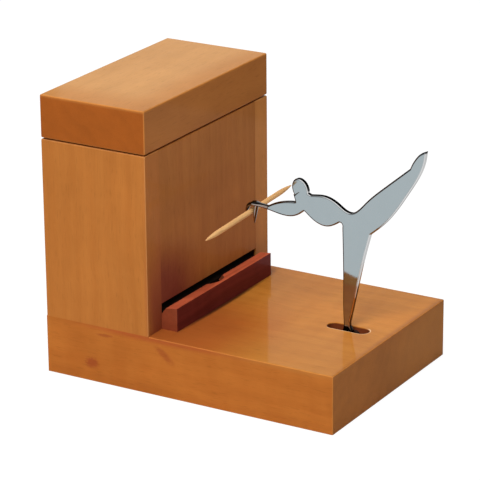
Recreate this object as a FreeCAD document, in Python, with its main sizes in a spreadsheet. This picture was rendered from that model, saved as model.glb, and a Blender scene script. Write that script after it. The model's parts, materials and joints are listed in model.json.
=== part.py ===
import FreeCAD, Part
import math
import os
import re
import Sketcher

# Toothpick dispenser: a wooden base with a box-shaped hopper at one end, a low tray bar in front of
# the hopper's outlet, and a flat metal figure that tips on a pivot in the base to pick up a toothpick.
# Frame: origin at the centre of the base's underside, +X from the hopper towards the figure's end,
# Y along the toothpicks, +Z up. Millimetres and degrees.

V = FreeCAD.Vector
doc = FreeCAD.newDocument("toothpick_dispenser")

# Driving sizes: alias, value, meaning

SIZES = [
    ("toothpick_length", 65.0, "standard round toothpick"),
    ("toothpick_radius", 1.0, "standard round toothpick"),
    ("toothpick_taper", 7.0, "pointed length at each end"),
    ("toothpick_tip", 0.22, "radius of the blunted point"),
    ("end_play", 2.0, "hopper wall to toothpick end, each side"),
    ("board", 9.5, "thickness of the four hopper boards"),
    ("base_height", 22.5, "thickness of the base block"),
    ("pivot_to_end", 17.6, "pivot axis to the base's free end"),
    ("pivot_reach", 59.7, "hopper front to the pivot axis"),
    ("tower_depth", 45.1, "hopper along X, outside"),
    ("tower_height", 69.5, "hopper boards above the base"),
    ("eased", 0.5, "rounding of the wooden edges"),
    ("bar_width", 6.7, "tray bar along X"),
    ("bar_height", 9.1, "tray bar's front edge above the base"),
    ("bar_top_fall", 0.6, "fall of the bar's top towards the hopper"),
    ("chamfer_run", 1.9, "bar's back chamfer along X"),
    ("chamfer_drop", 2.4, "bar's back chamfer downwards"),
    ("notch_radius", 7.0, "round notch in the bar, seen from above"),
    ("notch_reach", 5.0, "notch depth from the hopper's front"),
    ("notch_depth", 5.0, "notch depth below the bar's front edge"),
    ("ramp_slope", 14.0, "slope of the hopper floor"),
    ("ramp_thickness", 3.0, "hopper floor board"),
    ("ramp_step", 0.7, "floor's front edge above the bar's back edge"),
    ("ramp_gap", 0.2, "floor board to the hopper walls"),
    ("outlet_play", 1.2, "outlet height beyond one toothpick"),
    ("cleat_width", 8.0, "cleats that carry the floor board"),
    ("cleat_setback", 2.0, "cleats behind the hopper's front"),
    ("lid_height", 17.0, "lid board"),
    ("lid_ease", 0.6, "rounding of the lid's edges"),
    ("lid_seat", 0.5, "shadow gap round the lid: height of its raised seat"),
    ("lid_seat_inset", 1.8, "shadow gap round the lid: its seat behind the outer faces"),
    ("plug_depth", 5.0, "locating block under the lid"),
    ("plug_gap", 0.5, "locating block to the hopper walls"),
    ("lid_screw_spread", 20.0, "lid screws from the middle"),
    ("dowel_radius", 2.5, "dowels of the hopper panels"),
    ("dowel_in_side", 7.0, "dowel length inside a side board"),
    ("dowel_in_panel", 11.0, "dowel length inside a panel"),
    ("dowel_low", 22.5, "lower dowels above the base"),
    ("dowel_high", 57.0, "upper dowels above the base"),
    ("bar_dowel_radius", 2.0, "dowels of the tray bar"),
    ("bar_dowel_in_base", 6.0, "bar dowel length inside the base"),
    ("bar_dowel_in_bar", 5.0, "bar dowel length inside the bar"),
    ("bar_dowel_spread", 22.0, "bar dowels from the middle"),
    ("fit", 0.05, "radial clearance of dowels, screws and pin"),
    ("hole_spare", 0.5, "blind hole beyond its dowel or screw"),
    ("tower_screw_radius", 1.75, "shank of the hopper screws"),
    ("tower_screw_head", 3.5, "head radius of the hopper screws"),
    ("tower_screw_length", 34.0, "shank length of the hopper screws"),
    ("tower_screw_inset", 11.0, "hopper screws from its front and back"),
    ("head_recess", 5.0, "hopper screw heads' recess in the underside"),
    ("head_thickness", 2.2, "thickness of the hopper screws' heads"),
    ("small_screw_radius", 1.0, "shank of the bracket and cover screws"),
    ("small_screw_head", 1.9, "head radius of the bracket and cover screws"),
    ("small_head_thickness", 1.3, "thickness of the small heads"),
    ("small_screw_length", 6.0, "small screw length in the wood"),
    ("lid_screw_radius", 1.5, "shank of the lid screws"),
    ("lid_screw_length", 8.0, "lid screw length in the lid"),
    ("slot_length", 17.2, "slot in the base's top, round ends"),
    ("slot_width", 5.8, "slot across"),
    ("slot_ease", 0.3, "rounding of the slot's rim"),
    ("web", 11.0, "wood left above the underside pocket"),
    ("pocket_margin", 1.5, "pocket beyond the bracket's plate"),
    ("pocket_corner", 3.0, "pocket's corner radius"),
    ("plate_length", 22.0, "bracket plate along X"),
    ("plate_width", 18.0, "bracket plate along Y"),
    ("plate_thickness", 1.5, "bracket plate"),
    ("plate_screw_x", 7.0, "bracket screws from the pivot along X"),
    ("plate_screw_y", 6.2, "bracket screws from the pivot along Y"),
    ("pivot_depth", 3.5, "pivot axis below the base's top"),
    ("pin_radius", 1.25, "pivot pin"),
    ("ear_length", 7.0, "bracket ear along X"),
    ("ear_above", 2.2, "ear top above the pivot axis"),
    ("ear_corner", 2.0, "rounding of the ear's top"),
    ("ear_gap", 0.05, "ear to the slot's wall, and pin end to it"),
    ("washer_thickness", 0.4, "friction washers"),
    ("washer_radius", 2.2, "friction washers"),
    ("washer_play", 0.05, "washer to the figure's eye"),
    ("sheet", 2.0, "thickness of the metal figure"),
    ("eye_radius", 3.1, "figure's pivot eye"),
    ("tail_width", 3.0, "tail below the eye, the stop"),
    ("tail_overlap", 2.6, "tail below the bracket's plate"),
    ("stop_play", 0.1, "tail to the stops' faces"),
    ("window_gap", 0.4, "bracket's window beside the tail"),
    ("tilt_stop", 30.0, "forward tilt where the tail meets its stop"),
    ("cover_thickness", 2.5, "cover of the pocket"),
    ("cover_lap_x", 1.5, "cover beyond the pocket along X"),
    ("cover_lap_y", 6.0, "cover beyond the pocket along Y"),
    ("cover_gap", 0.15, "cover to its rabbet"),
    ("cover_corner", 1.0, "cover's corner radius"),
]

sheet = doc.addObject("Spreadsheet::Sheet", "sizes")
for row, (alias, value, meaning) in enumerate(SIZES, start=1):
    sheet.set(f"A{row}", alias)
    sheet.set(f"B{row}", str(value))
    sheet.set(f"C{row}", meaning)
    sheet.setAlias(f"B{row}", alias)
doc.recompute()

ALIASES = re.compile(r"\b(" + "|".join(alias for alias, _, _ in SIZES) + r")\b")

# Lines that several pieces share, as expressions of the driving sizes

HALF_WIDTH = "(toothpick_length / 2 + end_play + board)"
HALF_INSIDE = "(toothpick_length / 2 + end_play)"
LENGTH = "(tower_depth + pivot_reach + pivot_to_end)"
TOWER_BACK = f"(-{LENGTH} / 2)"
TOWER_FRONT = f"({TOWER_BACK} + tower_depth)"
PIVOT_X = f"({TOWER_FRONT} + pivot_reach)"
BASE_END = f"({LENGTH} / 2)"
TOWER_TOP = "(base_height + tower_height)"
BAR_BACK = "(bar_height - bar_top_fall - chamfer_drop)"
RAMP_FRONT = f"(base_height + {BAR_BACK} + ramp_step)"
RAMP_RUN = "(tower_depth - board - ramp_gap)"
RAMP_DEEP = "(ramp_thickness / cos(ramp_slope))"
OUTLET_TOP = f"({RAMP_FRONT} + 2 * toothpick_radius + outlet_play)"
PIVOT_Z = "(base_height - pivot_depth)"
CEILING = "(base_height - web)"
PLATE_BOTTOM = f"({CEILING} - plate_thickness)"
STOP_DROP = f"({PIVOT_Z} - {PLATE_BOTTOM})"
TAIL_LENGTH = f"({STOP_DROP} + tail_overlap)"
EAR_INSIDE = "(sheet / 2 + washer_play + washer_thickness)"
EAR_OUTSIDE = "(slot_width / 2 - ear_gap)"
POCKET_X = "(plate_length / 2 + pocket_margin)"
POCKET_Y = "(plate_width / 2 + pocket_margin)"
COVER_X = f"({POCKET_X} + cover_lap_x)"
COVER_Y = f"({POCKET_Y} + cover_lap_y)"
COVER_SCREW_Y = f"({POCKET_Y} + cover_lap_y / 2)"


def from_sheet(text):
    """The expression with each alias looked up in the sheet."""
    return ALIASES.sub(r"sizes.\1", str(text))


def number(text):
    """The value of an expression, for choosing edges and for printing."""
    return float(sheet.evalExpression(str(text)))


def bind(thing, prop, text):
    thing.setExpression(prop, from_sheet(text))


def bind_point(thing, point):
    for axis, text in zip("xyz", point):
        bind(thing, "Placement.Base." + axis, text)


# Bodies, sketches and cuts

TURNED = {
    "X": FreeCAD.Rotation(V(0, 1, 0), 90),
    "Y": FreeCAD.Rotation(V(1, 0, 0), -90),
    "Z": FreeCAD.Rotation(),
}
seats = {}
nodes = []


def body_at(name, x, y, z, node=True):
    """A body placed at its seat; its features are drawn from there."""
    body = doc.addObject("PartDesign::Body", name)
    seats[name] = (x, y, z)
    bind_point(body, (x, y, z))
    if node:
        nodes.append(body)
    return body


def local(body, point):
    return [f"({p}) - ({s})" for p, s in zip(point, seats[body.Name])]


def sketch_in(body, role):
    plane = next(f for f in body.Origin.OriginFeatures if f.Role == role)
    sketch = body.newObject("Sketcher::SketchObject", body.Name + "_sketch")
    sketch.AttachmentSupport = [(plane, "")]
    sketch.MapMode = "FlatFace"
    return sketch


def polygon(body, role, corners):
    """A closed polygon whose corners are bound to expressions of the sizes."""
    sketch = sketch_in(body, role)
    values = [V(number(a), number(b), 0) for a, b in corners]
    count = len(corners)
    for i in range(count):
        sketch.addGeometry(Part.LineSegment(values[i], values[(i + 1) % count]), False)
    for i in range(count):
        sketch.addConstraint(Sketcher.Constraint("Coincident", i, 2, (i + 1) % count, 1))
    for i, (a, b) in enumerate(corners):
        for kind, text, value in (("DistanceX", a, values[i].x), ("DistanceY", b, values[i].y)):
            index = sketch.addConstraint(Sketcher.Constraint(kind, -1, 1, i, 1, value))
            sketch.setExpression(f"Constraints[{index}]", from_sheet(text))
    return sketch


def circle(body, role, radius):
    sketch = sketch_in(body, role)
    sketch.addGeometry(Part.Circle(V(0, 0, 0), V(0, 0, 1), number(radius)), False)
    sketch.addConstraint(Sketcher.Constraint("Coincident", 0, 3, -1, 1))
    index = sketch.addConstraint(Sketcher.Constraint("Radius", 0, number(radius)))
    sketch.setExpression(f"Constraints[{index}]", from_sheet(radius))
    return sketch


def pad(body, sketch, length, both_ways=False):
    feature = body.newObject("PartDesign::Pad", body.Name + "_pad")
    feature.Profile = sketch
    if both_ways:
        feature.SideType = "Symmetric"
    bind(feature, "Length", length)
    return feature


def rectangle(x0, y0, x1, y1):
    return [(x0, y0), (x1, y0), (x1, y1), (x0, y1)]


def ease(body, feature, radius, wanted):
    """Rounds the edges whose midpoint and direction pass the test."""
    doc.recompute()
    names = []
    for i, edge in enumerate(feature.Shape.Edges, start=1):
        if edge.Degenerated:
            continue
        middle = edge.valueAt((edge.FirstParameter + edge.LastParameter) / 2)
        along = edge.tangentAt((edge.FirstParameter + edge.LastParameter) / 2)
        if wanted(middle, along):
            names.append(f"Edge{i}")
    fillet = body.newObject("PartDesign::Fillet", body.Name + "_eased")
    fillet.Base = (feature, names)
    bind(fillet, "Radius", radius)
    return fillet


def near(a, b):
    return abs(a - b) < 1e-4


def cut_round(body, radius, length, start, axis="Z"):
    """A round hole from a start point, along +X, +Y or +Z."""
    tool = body.newObject("PartDesign::SubtractiveCylinder", body.Name + "_hole")
    tool.Placement = FreeCAD.Placement(V(), TURNED[axis])
    bind(tool, "Radius", radius)
    bind(tool, "Height", length)
    bind_point(tool, local(body, start))
    return tool


def cut_block(body, size, corner):
    tool = body.newObject("PartDesign::SubtractiveBox", body.Name + "_cut")
    for prop, text in zip(("Length", "Width", "Height"), size):
        bind(tool, prop, text)
    bind_point(tool, local(body, corner))
    return tool


def add_block(body, size, corner):
    tool = body.newObject("PartDesign::AdditiveBox", body.Name + "_block")
    for prop, text in zip(("Length", "Width", "Height"), size):
        bind(tool, prop, text)
    bind_point(tool, local(body, corner))
    return tool


# Loose solids: dowels, pins and screws

def cylinder(name, radius, length, start, axis="Z"):
    solid = doc.addObject("Part::Cylinder", name)
    solid.Placement = FreeCAD.Placement(V(), TURNED[axis])
    bind(solid, "Radius", radius)
    bind(solid, "Height", length)
    bind_point(solid, start)
    return solid


def group(name, members):
    compound = doc.addObject("Part::Compound", name)
    compound.Links = members
    nodes.append(compound)
    return compound


def screw(name, x, y, seat, radius, head, thickness, length):
    """A wood screw driven upwards: its head's top face lies at the height called seat."""
    cone_length = f"(1.6 * ({radius}))"
    cap = cylinder(name + "_head", head, thickness, (x, y, f"{seat} - {thickness}"))
    shank = cylinder(name + "_shank", radius, f"{length} - {cone_length}", (x, y, seat))
    point = doc.addObject("Part::Cone", name + "_point")
    bind(point, "Radius1", radius)
    bind(point, "Radius2", f"0.25 * ({radius})")
    bind(point, "Height", cone_length)
    bind_point(point, (x, y, f"{seat} + {length} - {cone_length}"))
    whole = doc.addObject("Part::MultiFuse", name + "_blank")
    whole.Shapes = [cap, shank, point]
    arms = []
    for k, (long_x, long_y) in enumerate(((1.2, 0.3), (0.3, 1.2))):
        arm = doc.addObject("Part::Box", f"{name}_drive_{k}")
        bind(arm, "Length", f"{long_x} * ({head})")
        bind(arm, "Width", f"{long_y} * ({head})")
        bind(arm, "Height", f"{thickness}")
        bind_point(arm, (f"{x} - {long_x / 2} * ({head})", f"{y} - {long_y / 2} * ({head})",
                         f"{seat} - 1.5 * ({thickness})"))
        arms.append(arm)
    cross = doc.addObject("Part::MultiFuse", name + "_drive")
    cross.Shapes = arms
    done = doc.addObject("Part::Cut", name)
    done.Base = whole
    done.Tool = cross
    return done


# Base: the block's exposed top edges are eased, those under the hopper stay sharp

base = body_at("base", "0", "0", "0")
open_end = pad(base, polygon(base, "XY_Plane", rectangle(
    TOWER_FRONT, f"-{HALF_WIDTH}", BASE_END, HALF_WIDTH)), "base_height")
top, end, side = number("base_height"), number(BASE_END), number(HALF_WIDTH)
ease(base, open_end, "eased", lambda p, d: (
    (near(p.z, top) and near(abs(p.y), side)) or (near(p.x, end) and not near(p.z, 0))))
pad(base, polygon(base, "XY_Plane", rectangle(
    TOWER_BACK, f"-{HALF_WIDTH}", TOWER_FRONT, HALF_WIDTH)), "base_height")

# Slot for the figure's foot: a box with two round ends, eased at its rim
SLOT_STRAIGHT = "(slot_length - slot_width)"
cut_block(base, (SLOT_STRAIGHT, "slot_width", "web + 1"),
          (f"{PIVOT_X} - {SLOT_STRAIGHT} / 2", "-slot_width / 2", CEILING))
for sign in "-+":
    slot = cut_round(base, "slot_width / 2", "web + 1",
                     (f"{PIVOT_X} {sign} {SLOT_STRAIGHT} / 2", "0", CEILING))
pivot = number(PIVOT_X)
slot_half = number("slot_length / 2")
ease(base, slot, "slot_ease", lambda p, d: (
    near(p.z, top) and abs(p.x - pivot) < slot_half + 0.01 and abs(p.y) < number("slot_width")))

# Pocket under the slot, with a rabbet for its cover
ceiling = number(CEILING)
pocket = cut_block(base, (f"2 * {POCKET_X}", f"2 * {POCKET_Y}", f"{CEILING} + 1"),
                   (f"{PIVOT_X} - {POCKET_X}", f"-{POCKET_Y}", "-1"))
pocket_x, pocket_y = number(POCKET_X), number(POCKET_Y)
ease(base, pocket, "pocket_corner", lambda p, d: (
    near(abs(p.x - pivot), pocket_x) and near(abs(p.y), pocket_y) and abs(d.z) > 0.99))
cut_block(base, (f"2 * ({COVER_X} + cover_gap)", f"2 * ({COVER_Y} + cover_gap)", "cover_thickness + 1"),
          (f"{PIVOT_X} - {COVER_X} - cover_gap", f"-{COVER_Y} - cover_gap", "-1"))

# Hopper: two side boards, and a front and a back panel between them

SCREW_X = (f"({TOWER_BACK} + tower_screw_inset)", f"({TOWER_FRONT} - tower_screw_inset)")
DOWEL_Z = ("(base_height + dowel_low)", "(base_height + dowel_high)")
PANEL_X = {"front": f"({TOWER_FRONT} - board / 2)", "back": f"({TOWER_BACK} + board / 2)"}
tower_top = number("tower_height")
depth = number("tower_depth")
thick = number("board")
inside = number(f"2 * {HALF_INSIDE}")
sides = {}
for name, sign in (("side_panel_near", "-"), ("side_panel_far", "+")):
    low_y = f"-{HALF_WIDTH}" if sign == "-" else HALF_INSIDE
    board = body_at(name, TOWER_BACK, low_y, "base_height")
    blank = pad(board, polygon(board, "XY_Plane", rectangle("0", "0", "tower_depth", "board")),
                "tower_height")
    outer = 0 if sign == "-" else thick
    ease(board, blank, "eased", lambda p, d: (
        (near(p.y, outer) and not near(p.z, 0))
        or (near(p.z, tower_top) and (near(p.x, 0) or near(p.x, depth)))))
    sides[sign] = board
for role, name in (("front", "front_panel"), ("back", "back_panel")):
    if role == "front":
        panel = body_at(name, TOWER_FRONT, "0", OUTLET_TOP)
        rise = "(board * tan(ramp_slope))"
        up = f"({TOWER_TOP} - {OUTLET_TOP})"
        profile = [("0", "0"), ("0", up), ("-board", up), ("-board", rise)]
    else:
        panel = body_at(name, TOWER_BACK, "0", "base_height")
        up = "tower_height"
        profile = [("0", "0"), ("board", "0"), ("board", up), ("0", up)]
    blank = pad(panel, polygon(panel, "XZ_Plane", profile), f"2 * {HALF_INSIDE}", both_ways=True)
    panel_top = number(up)
    ease(panel, blank, "eased", lambda p, d: near(p.z, panel_top) and near(p.x, 0))
    for sign in "-+":
        for z in DOWEL_Z:
            into_panel = "dowel_in_panel + hole_spare"
            start = f"-{HALF_INSIDE}" if sign == "-" else f"{HALF_INSIDE} - ({into_panel})"
            cut_round(panel, "dowel_radius + fit", into_panel, (PANEL_X[role], start, z), "Y")
            into_side = "dowel_in_side + hole_spare"
            start = f"-{HALF_INSIDE} - ({into_side})" if sign == "-" else HALF_INSIDE
            cut_round(sides[sign], "dowel_radius + fit", into_side, (PANEL_X[role], start, z), "Y")
SCREW_Y = f"({HALF_WIDTH} - board / 2)"
into_wood = "(tower_screw_length - (base_height - head_recess) + hole_spare)"
screws = []
for sign in "-+":
    for k, x in enumerate(SCREW_X):
        y = f"({sign}{SCREW_Y})"
        cut_round(base, "tower_screw_head + fit", "head_recess", (x, y, "0"))
        cut_round(base, "tower_screw_radius + fit", "base_height", (x, y, "0"))
        cut_round(sides[sign], "tower_screw_radius + fit", into_wood, (x, y, "base_height"))
        label = f"tower_screw_{len(screws)}"
        screws.append(screw(label, x, y, "head_recess", "tower_screw_radius", "tower_screw_head",
                            "head_thickness", "tower_screw_length"))
group("tower_screws", screws)
for role in ("front", "back"):
    dowels = []
    for z in DOWEL_Z:
        for start in (f"-{HALF_INSIDE} - dowel_in_side", f"{HALF_INSIDE} - dowel_in_panel"):
            dowels.append(cylinder(f"{role}_dowel_{len(dowels)}", "dowel_radius",
                                   "dowel_in_side + dowel_in_panel", (PANEL_X[role], start, z), "Y"))
    group(f"{role}_panel_dowels", dowels)

# Hopper floor: a thin board that slopes to the outlet, on two cleats

ramp = body_at("hopper_ramp", TOWER_FRONT, "0", RAMP_FRONT)
pad(ramp, polygon(ramp, "XZ_Plane", [
    ("0", "0"),
    (f"-{RAMP_RUN}", f"{RAMP_RUN} * tan(ramp_slope)"),
    (f"-{RAMP_RUN}", f"{RAMP_RUN} * tan(ramp_slope) - {RAMP_DEEP}"),
    ("0", f"-{RAMP_DEEP}"),
]), f"2 * ({HALF_INSIDE} - ramp_gap)", both_ways=True)
cleats = []
under = f"({RAMP_FRONT} - {RAMP_DEEP} - base_height)"
for k, sign in enumerate("-+"):
    centre = f"{sign}({HALF_INSIDE} - ramp_gap - cleat_width / 2)"
    cleat = body_at(f"cleat_{k}", TOWER_FRONT, centre, "base_height", node=False)
    pad(cleat, polygon(cleat, "XZ_Plane", [
        ("-cleat_setback", "0"),
        ("-cleat_setback", f"{under} + cleat_setback * tan(ramp_slope)"),
        (f"-{RAMP_RUN}", f"{under} + {RAMP_RUN} * tan(ramp_slope)"),
        (f"-{RAMP_RUN}", "0"),
    ]), "cleat_width", both_ways=True)
    cleats.append(cleat)
group("ramp_wedges", cleats)

# Tray bar: chamfered at the back, with one round notch in the middle for the figure's thumb

bar = body_at("tray_bar", TOWER_FRONT, "0", "base_height")
pad(bar, polygon(bar, "XZ_Plane", [
    ("0", "0"),
    ("bar_width", "0"),
    ("bar_width", "bar_height"),
    ("chamfer_run", "bar_height - bar_top_fall"),
    ("0", BAR_BACK),
]), f"2 * {HALF_INSIDE}", both_ways=True)
cut_round(bar, "notch_radius", "notch_depth + 1",
          (f"{TOWER_FRONT} + notch_reach - notch_radius", "0", "base_height + bar_height - notch_depth"))
bar_dowels = []
BAR_X = f"({TOWER_FRONT} + bar_width / 2)"
for k, sign in enumerate("-+"):
    y = f"({sign}bar_dowel_spread)"
    low = "(base_height - bar_dowel_in_base)"
    cut_round(base, "bar_dowel_radius + fit", "bar_dowel_in_base + hole_spare",
              (BAR_X, y, f"{low} - hole_spare"))
    cut_round(bar, "bar_dowel_radius + fit", "bar_dowel_in_bar + hole_spare", (BAR_X, y, "base_height"))
    bar_dowels.append(cylinder(f"bar_dowel_{k}", "bar_dowel_radius",
                               "bar_dowel_in_base + bar_dowel_in_bar", (BAR_X, y, low)))
group("tray_dowels", bar_dowels)

# Lid: a thick board with a locating block screwed under it

lid = body_at("lid_board", TOWER_BACK, f"-{HALF_WIDTH}", f"{TOWER_TOP} + lid_seat")
blank = pad(lid, polygon(lid, "XY_Plane", rectangle("0", "0", "tower_depth", f"2 * {HALF_WIDTH}")),
            "lid_height - lid_seat")
ease(lid, blank, "lid_ease", lambda p, d: True)
# The lid sits on a seat set back from its faces, so a thin dark line runs round the joint
add_block(lid, ("tower_depth - 2 * lid_seat_inset", f"2 * {HALF_WIDTH} - 2 * lid_seat_inset", "lid_seat + 1"),
          (f"{TOWER_BACK} + lid_seat_inset", f"-{HALF_WIDTH} + lid_seat_inset", TOWER_TOP))
PLUG_BOTTOM = f"({TOWER_TOP} - plug_depth)"
plug = body_at("lid_plug", f"{TOWER_BACK} + board + plug_gap", f"-{HALF_INSIDE} + plug_gap", PLUG_BOTTOM)
blank = pad(plug, polygon(plug, "XY_Plane", rectangle(
    "0", "0", "tower_depth - 2 * board - 2 * plug_gap", f"2 * {HALF_INSIDE} - 2 * plug_gap")),
    "plug_depth")
ease(plug, blank, "eased", lambda p, d: near(p.z, 0))
lid_screws = []
LID_X = f"({TOWER_BACK} + tower_depth / 2)"
LID_SEAT = f"({PLUG_BOTTOM} + small_head_thickness + hole_spare)"
in_plug = "(plug_depth - small_head_thickness - hole_spare)"
for k, sign in enumerate("-+"):
    y = f"({sign}lid_screw_spread)"
    cut_round(plug, "2 * lid_screw_radius + fit", f"{LID_SEAT} - {PLUG_BOTTOM}", (LID_X, y, PLUG_BOTTOM))
    cut_round(plug, "lid_screw_radius + fit", "plug_depth", (LID_X, y, PLUG_BOTTOM))
    cut_round(lid, "lid_screw_radius + fit", "lid_screw_length + hole_spare", (LID_X, y, TOWER_TOP))
    lid_screws.append(screw(f"lid_screw_{k}", LID_X, y, LID_SEAT, "lid_screw_radius",
                            "2 * lid_screw_radius", "small_head_thickness",
                            f"({in_plug} + lid_screw_length)"))
group("lid_screws", lid_screws)

# Pivot: a bracket in the pocket whose two ears stand in the slot and hold the pin.
# The tail of the figure hangs through a window in its plate, whose ends are the two stops.

bracket = body_at("pivot_bracket", PIVOT_X, "0", PLATE_BOTTOM)
pad(bracket, polygon(bracket, "XY_Plane", rectangle(
    "-plate_length / 2", "-plate_width / 2", "plate_length / 2", "plate_width / 2")), "plate_thickness")
EAR_HEIGHT = f"({STOP_DROP} + ear_above)"
for sign in "-+":
    low = f"-{EAR_OUTSIDE}" if sign == "-" else EAR_INSIDE
    ears = add_block(bracket, ("ear_length", f"{EAR_OUTSIDE} - {EAR_INSIDE}", EAR_HEIGHT),
                     (f"{PIVOT_X} - ear_length / 2", low, PLATE_BOTTOM))
ear_top = number(EAR_HEIGHT)
ease(bracket, ears, "ear_corner", lambda p, d: near(p.z, ear_top) and abs(d.y) > 0.99)
# At the tilt stop the tail's rear flank meets the window's end at the plate's lower edge
window_rear = f"((tail_width / 2 + {STOP_DROP} * sin(tilt_stop)) / cos(tilt_stop) + stop_play)"
window_front = "(tail_width / 2 + stop_play)"
cut_block(bracket, (f"{window_front} + {window_rear}", "sheet + 2 * window_gap", "plate_thickness + 1"),
          (f"{PIVOT_X} - {window_front}", "-sheet / 2 - window_gap", f"{PLATE_BOTTOM} - 1"))
cut_round(bracket, "pin_radius + fit", "slot_width", (PIVOT_X, "-slot_width / 2", PIVOT_Z), "Y")
bracket_screws = []
for sx in "-+":
    for sy in "-+":
        x, y = f"({PIVOT_X} {sx} plate_screw_x)", f"({sy}plate_screw_y)"
        cut_round(bracket, "small_screw_radius + fit", "plate_thickness", (x, y, PLATE_BOTTOM))
        cut_round(base, "small_screw_radius + fit", "small_screw_length + hole_spare", (x, y, CEILING))
        bracket_screws.append(screw(f"bracket_screw_{len(bracket_screws)}", x, y, PLATE_BOTTOM,
                                    "small_screw_radius", "small_screw_head", "small_head_thickness",
                                    "(plate_thickness + small_screw_length)"))
group("bracket_screws", bracket_screws)
pin = cylinder("pivot_pin", "pin_radius", f"2 * {EAR_OUTSIDE}", (PIVOT_X, f"-{EAR_OUTSIDE}", PIVOT_Z), "Y")
nodes.append(pin)
washers = []
for k, start in enumerate((f"-{EAR_INSIDE}", f"{EAR_INSIDE} - washer_thickness")):
    disc = cylinder(f"washer_disc_{k}", "washer_radius", "washer_thickness", (PIVOT_X, start, PIVOT_Z), "Y")
    bore = cylinder(f"washer_bore_{k}", "pin_radius + fit", "washer_thickness", (PIVOT_X, start, PIVOT_Z), "Y")
    washer = doc.addObject("Part::Cut", f"washer_{k}")
    washer.Base = disc
    washer.Tool = bore
    washers.append(washer)
group("friction_washers", washers)

# Cover of the pocket, flush with the underside

cover = body_at("pocket_cover", f"{PIVOT_X} - {COVER_X}", f"-{COVER_Y}", "0")
blank = pad(cover, polygon(cover, "XY_Plane", rectangle("0", "0", f"2 * {COVER_X}", f"2 * {COVER_Y}")),
            "cover_thickness")
ease(cover, blank, "cover_corner", lambda p, d: abs(d.z) > 0.99)
cover_screws = []
for sign in "-+":
    y = f"({sign}{COVER_SCREW_Y})"
    seat = "(small_head_thickness + fit)"
    cut_round(cover, "small_screw_head + fit", seat, (PIVOT_X, y, "0"))
    cut_round(cover, "small_screw_radius + fit", "cover_thickness", (PIVOT_X, y, "0"))
    cut_round(base, "small_screw_radius + fit", "small_screw_length + hole_spare",
              (PIVOT_X, y, "cover_thickness"))
    cover_screws.append(screw(f"cover_screw_{len(cover_screws)}", PIVOT_X, y, seat, "small_screw_radius",
                              "small_screw_head", "small_head_thickness",
                              f"(cover_thickness - {seat} + small_screw_length)"))
group("cover_screws", cover_screws)

# Figure: one flat sheet cut to a silhouette; x is from the pivot axis, z above the base's top.
# It stands on one leg, bends forward and stretches its other leg out behind.

OUTLINE = [
    [(-2.5, -4.5), (-2.3, -2.0), (-1.8, 0.0), (-1.75, 4.0), (-1.95, 17.0), (-2.4, 39.1)],
    [(-2.4, 39.1), (-2.6, 40.6), (-3.4, 41.0)],
    [(-3.4, 41.0), (-5.1, 39.9), (-8.6, 38.5), (-11.9, 38.8), (-15.1, 40.4), (-18.3, 42.9)],
    [(-18.3, 42.9), (-21.0, 40.9), (-24.3, 39.8), (-26.7, 39.7), (-31.0, 40.3), (-34.2, 40.9)],
    [(-34.2, 40.9), (-34.2, 42.2)],
    [(-34.2, 42.2), (-31.0, 43.9), (-28.3, 44.9), (-25.0, 45.6), (-22.0, 45.9)],
    [(-22.0, 45.9), (-22.9, 48.6)],
    [(-22.9, 48.6), (-19.5, 51.0)],
    [(-19.5, 51.0), (-15.8, 48.9)],
    [(-15.8, 48.9), (-13.4, 49.5), (-10.9, 49.9), (-8.0, 49.3), (-3.8, 46.9), (-0.9, 45.4),
     (1.5, 45.2), (3.8, 46.3), (7.2, 49.7), (14.6, 56.6), (25.2, 65.6)],
    [(25.2, 65.6), (26.6, 67.4), (28.0, 70.4), (29.6, 72.3), (31.5, 73.2)],
    [(31.5, 73.2), (30.9, 70.8), (29.8, 67.9), (28.4, 66.3)],
    [(28.4, 66.3), (27.4, 63.3), (25.0, 58.8), (20.1, 50.8), (15.0, 44.2), (9.3, 38.7)],
    [(9.3, 38.7), (7.75, 32.4), (5.6, 23.6), (4.3, 17.6), (2.3, 8.2), (1.0, 2.2)],
    [(1.0, 2.2), (1.25, 0.8), (1.9, -0.3), (2.3, -2.0), (2.5, -4.5)],
    [(2.5, -4.5), (-2.5, -4.5)],
]
HEAD = {"centre": (-20.0, 51.0), "long": 4.3, "short": 3.3, "lean": 23.0}
JAW = {"start": (-23.3, 48.7), "length": 4.2, "width": 0.3, "depth": 0.15, "slope": 40.0}
# Hand: ellipses along a curled finger (x, z, downward angle, thickness, width), and a thumb
HAND = [
    (-33.4, 41.55, 0, 1.3, 1.9),
    (-35.8, 41.75, 0, 1.15, 2.0),
    (-38.4, 42.15, 5, 1.2, 3.0),
    (-40.6, 42.0, 35, 1.5, 3.4),
    (-42.2, 40.7, 65, 1.3, 2.8),
    (-42.9, 39.0, 80, 0.8, 1.8),
]
THUMB = {"root": (-39.35, 41.8), "tip": (-40.0, 34.9), "thick": 0.75, "thin": 0.15}
PICK = {"centre": (-41.3, -1.3, 38.76), "along": (-0.02, 1.0, 0.027)}
LIFT = number("pivot_depth")


def curve(points):
    poles = [V(x, z + LIFT, 0) for x, z in points]
    if len(poles) == 2:
        return Part.LineSegment(*poles)
    spline = Part.BSplineCurve()
    spline.interpolate(poles)
    return spline


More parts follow.
